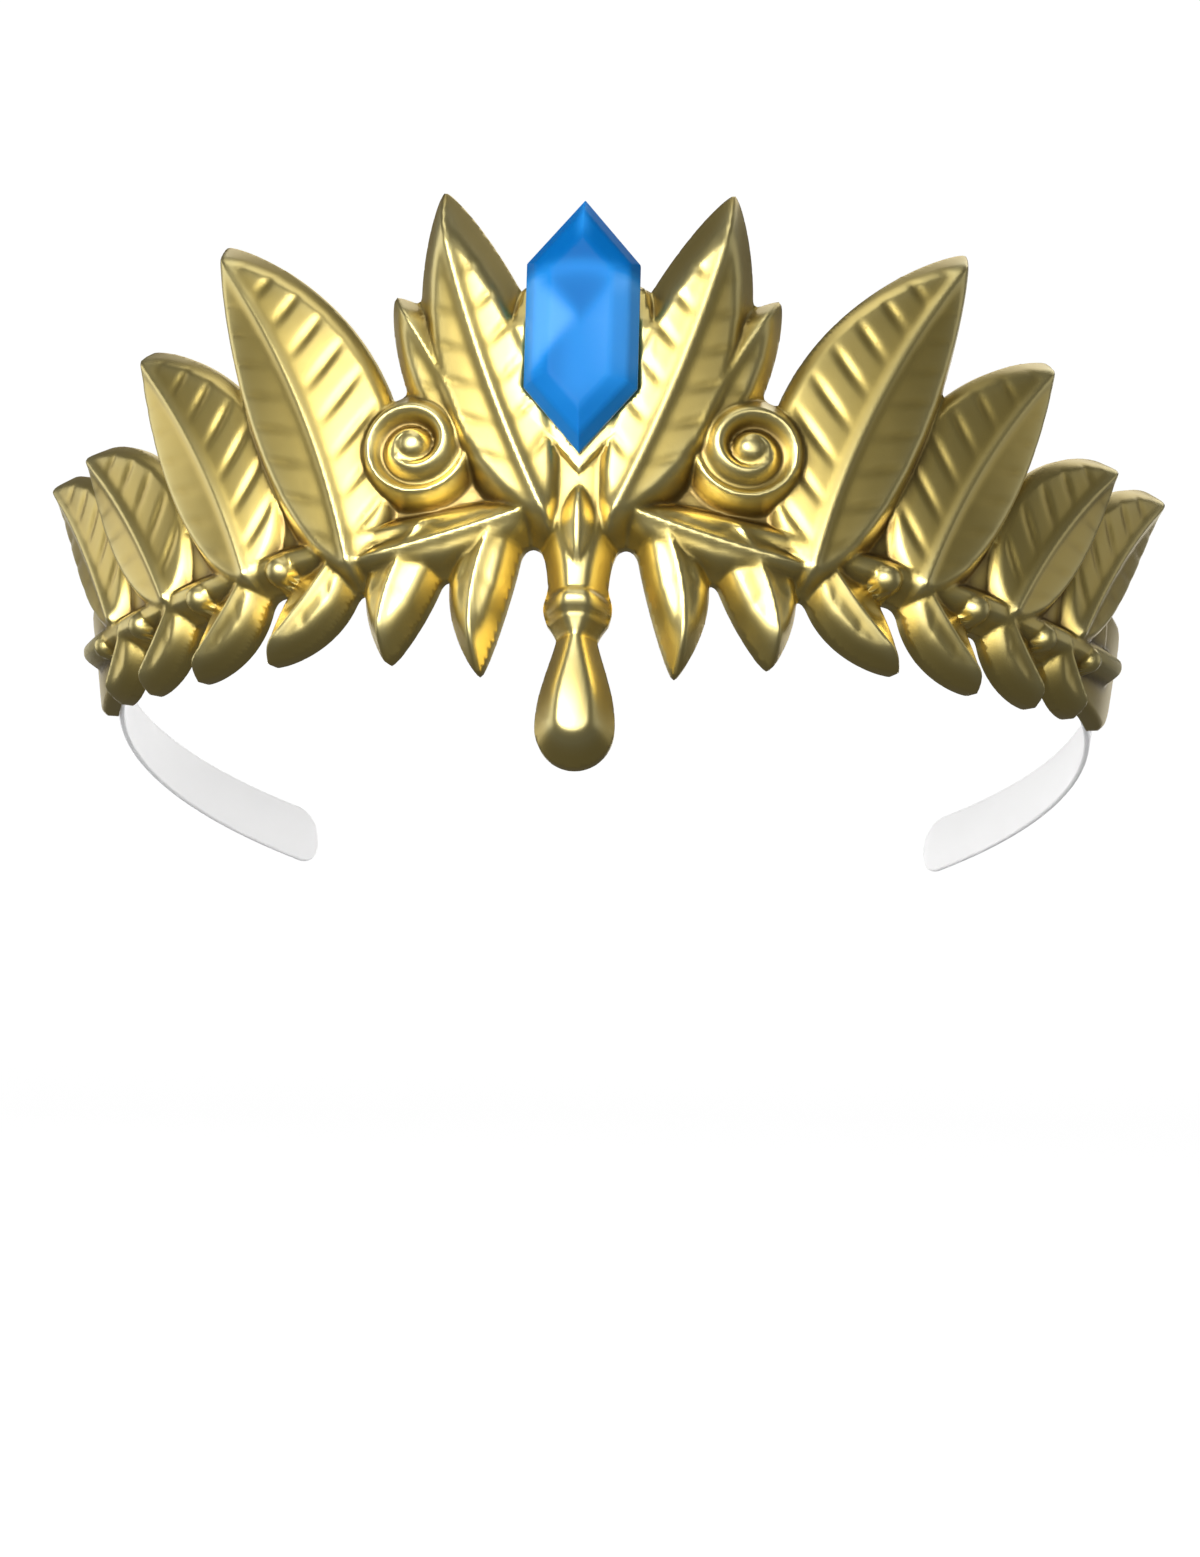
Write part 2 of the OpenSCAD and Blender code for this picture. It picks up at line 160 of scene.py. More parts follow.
# The relief's face is wider than its flat layout, because the wall is curved
SEAT_STRETCH = 1 + (WALL + LIP_FACE + LIP_HALF) / ARC_RADIUS

# Temple tab, and the strap on its inside
TAB_MIDDLE = (SIDE_LENGTH - 0.36 * TAB_LENGTH, -0.01 * TAB_HEIGHT)
TAB_CORNER = 0.32 * TAB_HEIGHT
STRAP_START = TAB_MIDDLE[0] + TAB_LENGTH / 2 - STRAP_HOLD
STRAP_MIDDLE = TAB_MIDDLE[1] - 0.13 * TAB_HEIGHT
STRAP_CORNER = 0.38 * STRAP_WIDTH
STRAP_EDGE = 0.38
STRAP_FALL_POWER = 1.5
STRAP_STEPS = 80
STRAP_END_STEPS = 12
STRAP_END_TURN = 88
STRAP_SHARP = math.radians(50)

# Branch, berries on it, and the thin web behind the feet of the leaves
BRANCH_START = 0.12 * SIDE_LENGTH
BRANCH_END = SIDE_LENGTH - 2 * BRANCH_HALF_WIDTH
BRANCH_LOW = 0.64 * SIDE_LENGTH
BRANCH_RISE = (0.04 * CREST_HEIGHT, 0.09 * CREST_HEIGHT)
BERRY_DROP = 0.4 * BRANCH_HALF_WIDTH
WEB_LOW = 0.12 * CREST_HEIGHT
WEB_HIGH = 0.155 * CREST_HEIGHT
WEB_LIFT = 0.055 * CREST_HEIGHT
WEB_END = SIDE_LENGTH - 2 * WEB_HIGH

# Scroll and the ball in its eye
SCROLL_MIDDLE = (STONE_HALF + 1.5 * SCROLL_RADIUS, 1.2 * SCROLL_RADIUS)
SCROLL_RIM = SCROLL_RADIUS - 0.37 * SCROLL_PITCH
SCROLL_TURN = 0.75
SCROLL_START = 0.16 * SCROLL_RADIUS
SCROLL_FADE = 0.15 * SCROLL_RADIUS
SCROLL_EYE_RADIUS = 0.30 * SCROLL_RADIUS
EYE_SLOPE = 1.7

# Drop, neck and collar
DROP_MIDDLE = DROP_RADIUS - DROP_LENGTH
DROP_TOP = -0.41 * DROP_LENGTH
DROP_WAIST = 0.6 * NECK_HALF_WIDTH
WAIST_LENGTH = 0.07 * DROP_LENGTH
TEAR_POWER = 1.6
COLLAR_HEIGHT = -0.35 * DROP_LENGTH
COLLAR_STRETCH = 1.45
RING_SHARE = 0.55
RING_RISE = 2.2
RING_DRAFT = 1.9
NECK_START = -0.31 * DROP_LENGTH
NECK_TOP = 0.1 * DROP_LENGTH
NECK_WIDENING = 0.8 * NECK_HALF_WIDTH
NECK_REACH = 0.35 * DROP_LENGTH

# Fine relief that the solids leave out
RIB_HEIGHT = 0.45
RIB_WIDTH = 0.9
RIB_RUN_OUT = 5
VEIN_DEPTH = 0.5
VEIN_SHARES = (0.35, 0.6)
VEIN_SPACING = 6.4
VEIN_SLANT = 8.5
VEIN_SHARPNESS = 4

# Mesh of the moulding: size of a cell, free margin round the outline, how near to a corner the
# outline may cut a cell's side, step for the directions of its skin, and angle of a sharp edge
CELL = 0.52
MARGIN = 3.0
CROSSING_MIN = 0.1
SKIN_STEP = 0.55 * CELL
RIM_ANGLE = math.radians(62)

# Hollows and ridges for the gold's colour, which paints shade into the hollows: value of an even
# face, rounds of spreading, height from the lowest hollow to the sharpest ridge, and how far inside
# the outline they start and grow
EVEN = 0.5
HOLLOW_ROUNDS = 10
HOLLOW_HEIGHT = 1.6
HOLLOW_START = 0.5
HOLLOW_GROWTH = 2.5

# Leaf tables. Columns: foot along the side, foot height, tip along the side, tip height, half
# width, bow as a share of the width, height of the front edge, height of the back edge. The others
# are shares of SIDE_LENGTH, of the height that the rows follow, of LEAF_HALF_WIDTH and of RELIEF.
SIDE_LEAVES = (
    (0.765, -0.07, 0.990, 0.585, 0.74, 0.28, 0.20, 0.68),
    (0.605, -0.11, 0.825, 0.545, 0.82, 0.28, 0.20, 0.76),
    (0.448, -0.13, 0.652, 0.735, 0.92, 0.28, 0.20, 0.87),
    (0.290, -0.16, 0.491, 0.96, 1.00, 0.30, 0.20, 1.00),
)
# Leaves below the branch, with heights as shares of DROP_LENGTH
LOWER_LEAVES = (
    (0.305, -0.02, 0.455, -0.46, 0.46, -0.25, 0.16, 0.48),
    (0.450, -0.04, 0.600, -0.44, 0.45, -0.25, 0.16, 0.46),
    (0.595, -0.04, 0.735, -0.39, 0.42, -0.25, 0.16, 0.42),
    (0.735, -0.04, 0.860, -0.32, 0.38, -0.25, 0.16, 0.36),
    (0.085, 0.10, 0.132, -0.62, 0.42, 0.50, 0.40, 0.46),
    (0.185, 0.05, 0.262, -0.54, 0.50, 0.35, 0.36, 0.50),
    (0.008, 0.10, 0.356, -0.145, 0.42, -0.44, 0.55, 0.55),
    (0.000, 0.19, 0.000, -0.34, 0.42, 0.00, 0.86, 0.86),
)
# Crest leaves, counted from the stone's straight side in shares of LEAF_HALF_WIDTH
CREST_LEAVES = (
    (0.50, 0.16, 1.620, 0.70, 0.54, 0.20, 0.42, 0.66),
    (-0.50, -0.08, 0.98, 1.00, 0.80, -0.22, 0.95, 0.78),
)
# Berries: place along the side as a share of SIDE_LENGTH, and size as a share of BERRY_RADIUS
BERRIES = ((0.405, 1.00), (0.552, 0.96), (0.694, 0.92), (0.826, 0.84))


# Relief of the moulding

def smooth_max(a, b, k):
    """The larger of two values, blended where they are less than k apart."""
    return np.maximum(a, b) + np.maximum(k - np.abs(a - b), 0) ** 2 / (4 * k)


def smooth_min(a, b, k):
    """The smaller of two values, blended where they are less than k apart."""
    return -smooth_max(-a, -b, k)


def dome(share):
    """Height of a half circle over a place between its middle, 0, and its edge, 1."""
    return np.sqrt(np.maximum(1 - share * share, 0))


def drafted(reach, face):
    """An element of the relief: how far inside its outline a place lies, and its face there."""
    return reach, smooth_min(face, EDGE_DRAFT * reach, EDGE_ROUND)


def leaf_rows(table, start, along, up):
    """Rows of a leaf table as foot, tip, half width, bow, front height and back height."""
    return [
        (
            (start + foot_u * along, foot_w * up),
            (start + tip_u * along, tip_w * up),
            width * LEAF_HALF_WIDTH,
            width * bow * LEAF_HALF_WIDTH,
            low * RELIEF,
            high * RELIEF,
        )
        for foot_u, foot_w, tip_u, tip_w, width, bow, low, high in table
    ]


LEAVES = (
    leaf_rows(SIDE_LEAVES, 0, SIDE_LENGTH, CREST_HEIGHT)
    + leaf_rows(LOWER_LEAVES, 0, SIDE_LENGTH, DROP_LENGTH)
    + leaf_rows(CREST_LEAVES, STONE_HALF, LEAF_HALF_WIDTH, CREST_HEIGHT)
)


def leaf(u, w, row):
    """A bowed, pointed leaf, folded along its middle and higher on one side."""
    foot, tip, width, bow, low, high = row
    length = math.dist(foot, tip)
    axis = ((tip[0] - foot[0]) / length, (tip[1] - foot[1]) / length)
    du = u - foot[0]
    dw = w - foot[1]
    along = (du * axis[0] + dw * axis[1]) / length
    t = np.clip(along, 0, 1)
    across = du * axis[1] - dw * axis[0] + 4 * bow * t * (1 - t)
    te = np.clip(along, LEAF_END, 1 - LEAF_END)
    half = width * te ** FOOT_POWER * (1 - te) ** TIP_POWER / LEAF_NORM
    slope = half * (FOOT_POWER / te - TIP_POWER / (1 - te)) / length
    past = np.maximum(np.maximum(along - 1, -along), 0) * length
    inside = half - np.hypot(across, FOLD_ROUND)
    reach = inside / np.sqrt(1 + np.minimum(slope ** 2, SLOPE_CAP)) - past
    edge = np.clip(np.abs(across) / np.maximum(half, LEAF_HALF_MIN), 0, 1)
    ramp = 0.5 + 0.5 * np.clip(across / width, -1, 1)
    face = low + (high - low) * ramp + LEAF_FOLD * (1 - edge)
    return drafted(reach, face + leaf_veins(across, t, half, edge, length))


def leaf_veins(across, t, half, edge, length):
    """The rib along the middle of a leaf, and the soft grooves that slant from it to the edge."""
    rib = RIB_HEIGHT * np.exp(-(across / RIB_WIDTH) ** 2) * np.clip(RIB_RUN_OUT * (1 - t), 0, 1)
    phase = t * length / VEIN_SPACING - edge * half / VEIN_SLANT
    groove = (0.5 + 0.5 * np.cos(2 * math.pi * phase)) ** VEIN_SHARPNESS
    off_rib = np.clip(3 * edge - 0.3, 0, 1)
    off_edge = np.clip(3.5 * (0.9 - edge), 0, 1)
    off_ends = np.clip(half / 6 - 0.2, 0, 1)
    depth = VEIN_DEPTH * np.where(across > 0, *VEIN_SHARES)
    return rib - depth * groove * off_rib * off_edge * off_ends


def tab(u, w):
    """The plain tab at the temple, with round corners."""
    qu = np.abs(u - TAB_MIDDLE[0]) - TAB_LENGTH / 2 + TAB_CORNER
    qw = np.abs(w - TAB_MIDDLE[1]) - TAB_HEIGHT / 2 + TAB_CORNER
    outside = np.hypot(np.maximum(qu, 0), np.maximum(qw, 0))
    return drafted(TAB_CORNER - outside - np.minimum(np.maximum(qu, qw), 0), TAB_FACE)


def stone_reach(u, w):
    """Distance inside the outline of the stone, at the level of its edge."""
    x = np.abs(u) * SEAT_STRETCH
    rise = STONE_HEIGHT / 2 - np.abs(w - STONE_MID)
    slant = (rise * STONE_HALF - x * STONE_POINT) / math.hypot(STONE_HALF, STONE_POINT)
    return np.minimum(STONE_HALF - x, slant)


def seat_share(w):
    """Share of its full width that the rim of the seat keeps, which runs out towards its top."""
    return np.clip((SEAT_TOP - w) / SEAT_TAPER, 0, 1)


def seat(u, w):
    """The rim of gold behind and round the stone."""
    reach = stone_reach(u, w) + SEAT_MARGIN * seat_share(w)
    return drafted(np.minimum(reach, SEAT_TOP - w), SEAT_FACE)


def seat_plane(u):
    """Face of the seat, flat across the stone although the wall is curved."""
    return SEAT_FACE + HEAD_HALF_DEPTH * (1 - np.cos(u / ARC_RADIUS))


def cup(u, w):
    """How far the gold may rise from the seat's face to meet the sloping back of the stone."""
    rise = (STONE_LEVELS[1][1] - STONE_LEVELS[0][1]) * STONE_DEPTH
    slope = rise / ((STONE_LEVELS[0][0] - STONE_LEVELS[1][0]) * STONE_HALF)
    return np.maximum(rise - slope * stone_reach(u, w) + STONE_GAP - CUP_GAP, 0)


def lip(u, w):
    """The raised edge that holds the stone."""
    share = seat_share(w)
    off = np.minimum(stone_reach(u, w) + LIP_OFFSET * share, 0)
    reach = np.minimum(LIP_HALF * share + off, LIP_TOP - w)
    swell = LIP_EDGE + (LIP_HALF - LIP_EDGE) * (1 - (off / LIP_HALF) ** 2)
    face = LIP_FACE + np.maximum(swell, 0) - LIP_TAPER * np.maximum(w - LIP_TAPER_START, 0)
    return reach, smooth_min(face, LIP_FOOT + LIP_DRAFT * reach, EDGE_ROUND)


def branch_line(u):
    """Height of the middle of the branch, which is lowest at BRANCH_LOW."""
    off = (u - BRANCH_LOW) / (SIDE_LENGTH - BRANCH_LOW)
    return np.where(off < 0, *BRANCH_RISE) * off * off - BRANCH_DROP


def branch(u, w):
    """The round branch, with round ends."""
    run = np.clip(u, BRANCH_START, BRANCH_END)
    off = np.hypot(w - branch_line(run), u - run)
    face = BRANCH_FACE + BRANCH_SWELL * BRANCH_HALF_WIDTH * dome(off / BRANCH_HALF_WIDTH)
    return drafted(BRANCH_HALF_WIDTH - off, face)


def web(u, w):
    """Thin web behind the feet of the leaves and the scroll."""
    run = np.clip(u, 0, WEB_END)
    rise = w - branch_line(u) - WEB_LIFT
    return drafted(np.where(rise > 0, WEB_HIGH, WEB_LOW) - np.hypot(u - run, rise), TAB_FACE)


def scroll(u, w):
    """A disc with one spiral ridge that winds in to a ball."""
    du = u - SCROLL_MIDDLE[0]
    dw = w - SCROLL_MIDDLE[1]
    radius = np.hypot(du, dw)
    turn = np.arctan2(dw, -du) / (2 * math.pi) - SCROLL_TURN
    phase = (radius - SCROLL_RIM) / SCROLL_PITCH - turn
    fade = np.clip((radius - SCROLL_START) / SCROLL_FADE, 0, 1)
    ridge = (0.5 + 0.5 * np.cos(2 * math.pi * phase)) * fade
    foot = EYE_SLOPE * np.maximum(SCROLL_EYE_RADIUS - radius, 0)
    ball = SCROLL_EYE * dome(radius / SCROLL_EYE_RADIUS)
    eye = np.maximum(smooth_min(ball, foot, VALLEY_FILLET), 0)
    return drafted(SCROLL_RADIUS - radius, SCROLL_FACE + SCROLL_RIDGE * ridge + eye)


def drop(u, w):
    """The teardrop, and the neck that carries it up to the seat."""
    x = np.abs(u)
    low_end = w < DROP_MIDDLE
    fall = np.clip((DROP_TOP - w) / (DROP_TOP - DROP_MIDDLE), 0, 1)
    tear = DROP_WAIST + (DROP_RADIUS - DROP_WAIST) * np.sin(math.pi / 2 * fall) ** TEAR_POWER
    joint = (NECK_HALF_WIDTH - DROP_WAIST) * np.clip((w - DROP_TOP) / WAIST_LENGTH + 1, 0, 1)
    shoulder = np.clip((w - NECK_START) / (NECK_TOP - NECK_START), 0, 1)
    neck = NECK_HALF_WIDTH + NECK_WIDENING * shoulder ** 2
    half = np.where(w > DROP_TOP, neck, tear + joint)
    radius = np.hypot(x, w - DROP_MIDDLE)
    reach = np.where(low_end, DROP_RADIUS - radius, np.minimum(half - x, NECK_REACH - w))
    share = np.where(low_end, radius / DROP_RADIUS, x / half)
    body = np.where(low_end, DROP_RADIUS, np.where(w > DROP_TOP, NECK_HALF_WIDTH, half))
    return drafted(reach, DROP_FACE + DROP_SWELL * body * dome(share))


def collar(u, w):
    """A ring round the neck, which bulges past it on both sides."""
    half = COLLAR_RADIUS * COLLAR_STRETCH
    reach = COLLAR_RADIUS - np.hypot(u / COLLAR_STRETCH, w - COLLAR_HEIGHT)
    ring = dome((w - COLLAR_HEIGHT) / (RING_SHARE * COLLAR_RADIUS))
    face = COLLAR_FACE + COLLAR_SWELL * COLLAR_RADIUS * dome(u / half)
    face = smooth_min(face, RING_DRAFT * (half - np.abs(u)), EDGE_ROUND) - RING_RISE * (1 - ring)
    return reach, smooth_min(face, 2 * EDGE_DRAFT * reach, EDGE_ROUND)


def berry(u, w, row):
    """A ball on the branch, which stands on nothing outside its own circle."""
    middle = row[0] * SIDE_LENGTH
    size = row[1] * BERRY_RADIUS
    reach = size - np.hypot(u - middle, w - branch_line(middle) + BERRY_DROP)
    face = BERRY_FACE + BERRY_SWELL * size * dome(1 - reach / size)
    return reach, np.where(reach > 0, face, NOWHERE)


def relief_at(u, w, floor=0.0):
    """Outline and face of the whole relief: distance inside it, and height of its front."""
    u = np.abs(u)
    parts = [tab(u, w), web(u, w), seat(u, w), branch(u, w)]
    parts += [leaf(u, w, row) for row in LEAVES]
    parts += [scroll(u, w), drop(u, w), collar(u, w), lip(u, w)]
    parts += [berry(u, w, row) for row in BERRIES]
    reach, face = parts[0]
    for next_reach, next_face in parts[1:]:
        reach = smooth_max(reach, next_reach, OUTLINE_FILLET)
        face = smooth_max(face, next_face, VALLEY_FILLET)
    face = np.maximum(face, floor)
    return reach, np.minimum(face, seat_plane(u) + cup(u, w))


def place(u, w, r):
    """A place of the flat layout in the worn frame, in metres."""
    u, w, r = np.broadcast_arrays(*(np.asarray(value, float) for value in (u, w, r)))
    angle = u / ARC_RADIUS
    out = np.stack([HEAD_HALF_DEPTH * np.sin(angle), -HEAD_HALF_WIDTH * np.cos(angle)])
    side_share = np.minimum(np.abs(u) / SIDE_LENGTH, 1)
    lean = TEMPLE_LEAN * side_share ** LEAN_POWER * (np.maximum(w, 0) / CREST_HEIGHT) ** 2
    out *= (w * math.sin(WALL_FLARE) + lean + r) / np.hypot(out[0], out[1])
    x = HEAD_HALF_WIDTH * np.sin(angle) + out[0]
    y = -HEAD_HALF_DEPTH * np.cos(angle) + out[1]
    z = w * math.cos(WALL_FLARE)
    tilted_y = y * math.cos(BAND_TILT) + z * math.sin(BAND_TILT)
    tilted_z = z * math.cos(BAND_TILT) - y * math.sin(BAND_TILT)
    return np.stack([x, tilted_y, tilted_z], axis=-1) * MM


# Helpers for meshes and objects

def write_attribute(mesh, name, values):
    layer = mesh.attributes.new(name, "FLOAT", "POINT")
    layer.data.foreach_set("value", values.astype(np.float32))


def shade_smooth(mesh, sharp_angle=None):
    mesh.polygons.foreach_set("use_smooth", np.ones(len(mesh.polygons), dtype=bool))
    if sharp_angle is not None:
        mesh.set_sharp_from_angle(angle=sharp_angle)


def ring_faces(rings, count):
    """Faces between rings that follow one another, each with the same count of points."""
    faces = []
    for first in range(0, (rings - 1) * count, count):
        for k in range(count):
            after = (k + 1) % count
            faces.append((first + k, first + after, first + count + after, first + count + k))
    return faces


def add_object(name, data):
    thing = bpy.data.objects.new(name, data)
    bpy.context.collection.objects.link(thing)
    return thing


def add_piece(name, mesh, material, node):
    piece = add_object(name, mesh)
    mesh.materials.append(material)
    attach(piece, "root")
    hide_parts(node)
    return piece


# The moulding

def back_face(face, solid):
    """The inner face: the front drawn in by the wall's thickness, square to the surface."""
    reach_cells = int(WALL / CELL)
    padded = np.pad(np.where(solid, face, 0), reach_cells)
    back = face.copy()
    for i in range(-reach_cells, reach_cells + 1):
        for j in range(-reach_cells, reach_cells + 1):
            off = math.hypot(i, j) * CELL
            if 0 < off < WALL:
                rows = slice(reach_cells + i, reach_cells + i + face.shape[0])
                columns = slice(reach_cells + j, reach_cells + j + face.shape[1])
                sag = WALL - math.sqrt(WALL ** 2 - off ** 2)
                back = np.minimum(back, padded[rows, columns] + sag)
    return back


def corners_of(grid):
    """The four corners of each cell, counter-clockwise."""
    return grid[:-1, :-1], grid[1:, :-1], grid[1:, 1:], grid[:-1, 1:]


def first_corners(u, w, face):
    """0 or 1 for each cell: the corner to start at, so that it folds along the relief's line."""
    a, b, c, d = corners_of(face)
    middle = relief_at(u[:-1, :-1] + CELL / 2, w[:-1, :-1] + CELL / 2)[1]
    return (np.abs((b + d) / 2 - middle) < np.abs((a + c) / 2 - middle)).astype(int)


def cut_cells(solid, first, rank, u_rank, w_rank):
    """Faces of the flat layout inside the outline, counter-clockwise, and the outline's edges."""
    count = sum(corner.astype(int) for corner in corners_of(solid))
    whole = count == 4
    rings = np.stack([corner[whole] for corner in corners_of(rank)], axis=-1)
    turns = (np.arange(4) + first[whole][:, None]) % 4
    faces = np.take_along_axis(rings, turns, axis=1).tolist()
    edges = []
    for i, j in np.argwhere((count > 0) & (count < 4)):
        ring = []
        for corner, side in (
            ((i, j), u_rank[i, j]),
            ((i + 1, j), w_rank[i + 1, j]),
            ((i + 1, j + 1), u_rank[i, j + 1]),
            ((i, j + 1), w_rank[i, j]),
        ):
            if solid[corner]:
                ring.append((int(rank[corner]), False))
            if side >= 0:
                ring.append((int(side), True))
        faces.append([point for point, _ in ring])
        for (p, p_cut), (q, q_cut) in zip(ring, ring[1:] + ring[:1]):
            if p_cut and q_cut:
                edges.append((p, q))
    return faces, edges


def ranked(mask, start):
    """Numbers the true places of a mask from start on, and gives -1 elsewhere."""
    return np.where(mask, np.cumsum(mask.ravel()).reshape(mask.shape) - 1 + start, -1)


def moulding_mesh():
    """One closed skin: the front, the inner face behind it, and the rim between them."""
    side_cells = round((SIDE_LENGTH + 2 * MARGIN) / CELL)
    up_cells = round((CREST_HEIGHT + DROP_LENGTH + 2 * MARGIN) / CELL)
    u_line = np.arange(-side_cells, side_cells + 1) * CELL
    w_line = np.arange(up_cells + 1) * CELL - DROP_LENGTH - MARGIN
    u, w = np.meshgrid(u_line, w_line, indexing="ij")
    reach, face = relief_at(u, w)
    solid = reach > 0
    back = back_face(face, solid)

    def crossings(first, second):
        """Where the outline cuts the sides between two sets of neighbouring places."""
        cut = solid[first] != solid[second]
        share = reach[first][cut] / (reach[first][cut] - reach[second][cut])
        share = np.clip(share, CROSSING_MIN, 1 - CROSSING_MIN)
        spots = [grid[first][cut] * (1 - share) + grid[second][cut] * share for grid in (u, w)]
        return cut, spots

    near_u, far_u = np.s_[:-1, :], np.s_[1:, :]
    near_w, far_w = np.s_[:, :-1], np.s_[:, 1:]
    u_cut, u_spots = crossings(near_u, far_u)
    w_cut, w_spots = crossings(near_w, far_w)
    inner = int(solid.sum())
    u_first = inner
    w_first = inner + int(u_cut.sum())
    ranks = [ranked(solid, 0), ranked(u_cut, u_first), ranked(w_cut, w_first)]
    faces, edges = cut_cells(solid, first_corners(u, w, face), *ranks)
    flat_u = np.concatenate([u[solid], u_spots[0], w_spots[0]])
    flat_w = np.concatenate([w[solid], u_spots[1], w_spots[1]])
    rim = np.zeros(len(flat_u) - inner)
    front = place(flat_u, flat_w, np.concatenate([face[solid], rim]) + WALL)
    rear = place(flat_u, flat_w, np.concatenate([back[solid], rim]))
    total = len(flat_u)
    skin = list(faces)
    skin += [[point + total for point in reversed(ring)] for ring in faces]
    skin += [(q, p, p + total, q + total) for p, q in edges]
    mesh = bpy.data.meshes.new("gold_moulding")
    mesh.from_pydata(np.concatenate([front, rear]).tolist(), [], skin)
    # Painted shade for the gold: how far each place lies in a hollow, which darkens it there
    hollow = hollow_share(face, solid, reach)
    even = np.full(len(rim) + total, EVEN)
    write_attribute(mesh, "hollow", np.concatenate([hollow[solid], even]))
    shade_smooth(mesh, RIM_ANGLE)
    smooth_corners(mesh, flat_u, flat_w, inner, sum(len(ring) for ring in faces))
    return mesh


def unit(directions):
    """The same directions, each with the length 1."""
    return directions / np.linalg.norm(directions, axis=1, keepdims=True)


def front_normals(u, w):
    """Directions square to the front of the relief, worked out from the relief itself."""
    def skin(du, dw):
        return place(u + du, w + dw, relief_at(u + du, w + dw, NOWHERE)[1] + WALL)

    along_u = skin(SKIN_STEP, 0) - skin(-SKIN_STEP, 0)
    along_w = skin(0, SKIN_STEP) - skin(0, -SKIN_STEP)
    return unit(np.cross(along_u, along_w))


def wall_normals(u, w):
    """Directions straight out of the outline of the relief."""
    def change(du, dw):
        across = relief_at(u + du, w + dw)[0] - relief_at(u - du, w - dw)[0]
        return across[:, None] * (place(u + du, w + dw, 0) - place(u - du, w - dw, 0))

    return unit(-change(SKIN_STEP, 0) - change(0, SKIN_STEP))


def smooth_corners(mesh, u, w, inner, front_corners):
    """Sets the normals of the front, which comes first in the mesh, and of the wall, the last."""
    total = len(u)
    front = front_normals(u, w)
    wall = wall_normals(u[inner:], w[inner:])
    front[inner:] = unit(front[inner:] + wall)
    spots = np.empty(len(mesh.loops), dtype=np.int32)
    mesh.loops.foreach_get("vertex_index", spots)
    corners = np.empty(len(mesh.loops) * 3, dtype=np.float32)
    mesh.corner_normals.foreach_get("vector", corners)
    corners = corners.reshape(-1, 3)
    corners[:front_corners] = front[spots[:front_corners]]
    wall_spots = spots[2 * front_corners:]
    at_front = wall_spots < total
    corners[2 * front_corners:][at_front] = front[wall_spots[at_front]]
    corners[2 * front_corners:][~at_front] = wall[wall_spots[~at_front] - total - inner]
    mesh.normals_split_custom_set(corners.tolist())


def hollow_share(face, solid, reach):
    """0 in a deep hollow, EVEN on an even face or near the outline, and 1 on a sharp ridge."""
    spread = np.where(solid, face, 0)
    for _ in range(HOLLOW_ROUNDS):
        for axis in (0, 1):
            spread = (np.roll(spread, 1, axis) + spread + np.roll(spread, -1, axis)) / 3
    height = np.clip((face - spread) / HOLLOW_HEIGHT, -EVEN, EVEN)
    return EVEN + height * np.clip((reach - HOLLOW_START) / HOLLOW_GROWTH, 0, 1)


def build_moulding():
    return add_piece("gold_moulding", moulding_mesh(), gold_material(), "shell")


# The stone

def stone_ring(inset, height):
    """Outline of the stone drawn in by an inset, at a height above its back."""
    half = STONE_HALF - inset
    tip = STONE_HEIGHT / 2 - inset * math.hypot(STONE_HALF, STONE_POINT) / STONE_HALF
    shoulder = tip - half * STONE_POINT / STONE_HALF
    right = [(0, tip), (half, shoulder), (half, -shoulder)]
    outline = right + [(-x, -z) for x, z in right]
    return [Vector((x, -height, z + STONE_MID)) for x, z in outline]


def soft_step(value, blur=TONE_BLUR):
    """0 well below nought, 1 well above it, and a soft change between them."""
    return 1 / (1 + math.exp(-max(min(value / blur, SOFT_LIMIT), -SOFT_LIMIT)))


def painted_stone_reflections(x, z):
    """Painted reflections: how light the stone is at a place of its front, as if facets inside
    showed through it.

    Places are in shares of half the stone's width and of half its straight side. A field lies
    where each soft_step of it is near 1, and its edges are where they cross 0.5.
    """
    x = x / STONE_HALF
    z = z / (STONE_HEIGHT / 2 - STONE_POINT)
    off = -x - 0.1
    arc = z - 0.98 + 0.25 * x * x
    left = soft_step(0.06 + 0.88 * off - z) * soft_step(z - 0.06 + 1.2 * off) * soft_step(x + 0.92)
    right = soft_step(x - 0.25 - 0.3 * abs(z), 0.14) * soft_step(0.8 - z, 0.1)
    right = right * soft_step(z + 1.1, 0.14)
    # Painted highlight, a soft spot at the upper right
    highlight_spot = math.exp(-((x - 0.66) ** 2 + (z - 0.62) ** 2) / 0.03)
    glow = math.exp(-((arc + 0.16) / 0.08) ** 2)
    upper = soft_step(z - 1.15 * abs(x) - 0.04) * soft_step(-arc - 0.2, 0.1) * (1 - left)
    low_left = soft_step(-x - 0.3, 0.08) * soft_step(-z - 0.5 + 0.4 * (1 + x))
    low_left = low_left * soft_step(z + 1.15, 0.08) * (1 - left)
    foot = soft_step(-z - 1.25 + 0.35 * abs(x), 0.1)
    # Painted highlight, a thin stripe down from the top tip
    tip_highlight = soft_step(0.04 + 0.16 * (1.9 - z) - abs(x), 0.03) * soft_step(z - 1.45)
    tone = TONE_EVEN + TONE_LEFT * left + TONE_RIGHT * right + PAINTED_HIGHLIGHT_SPOT * highlight_spot
    tone += TONE_GLOW * glow - TONE_UPPER * upper - TONE_LOW_LEFT * low_left
    tone *= soft_step(-arc, 0.04)
    tone = tone * (1 - foot) + TONE_FOOT * foot
    return min(max(tone + PAINTED_TIP_HIGHLIGHT * tip_highlight, 0), 1)


def stone_to_frame():
    """From the stone's own layout, in millimetres, to its seat in the worn frame."""
    tilt = Matrix.Rotation(-BAND_TILT, 4, "X")
    shift = Matrix.Translation((0, -HEAD_HALF_DEPTH - WALL - SEAT_FACE, 0))
    lean = Matrix.Rotation(WALL_FLARE, 4, "X")
    return Matrix.Scale(MM, 4) @ tilt @ shift @ lean


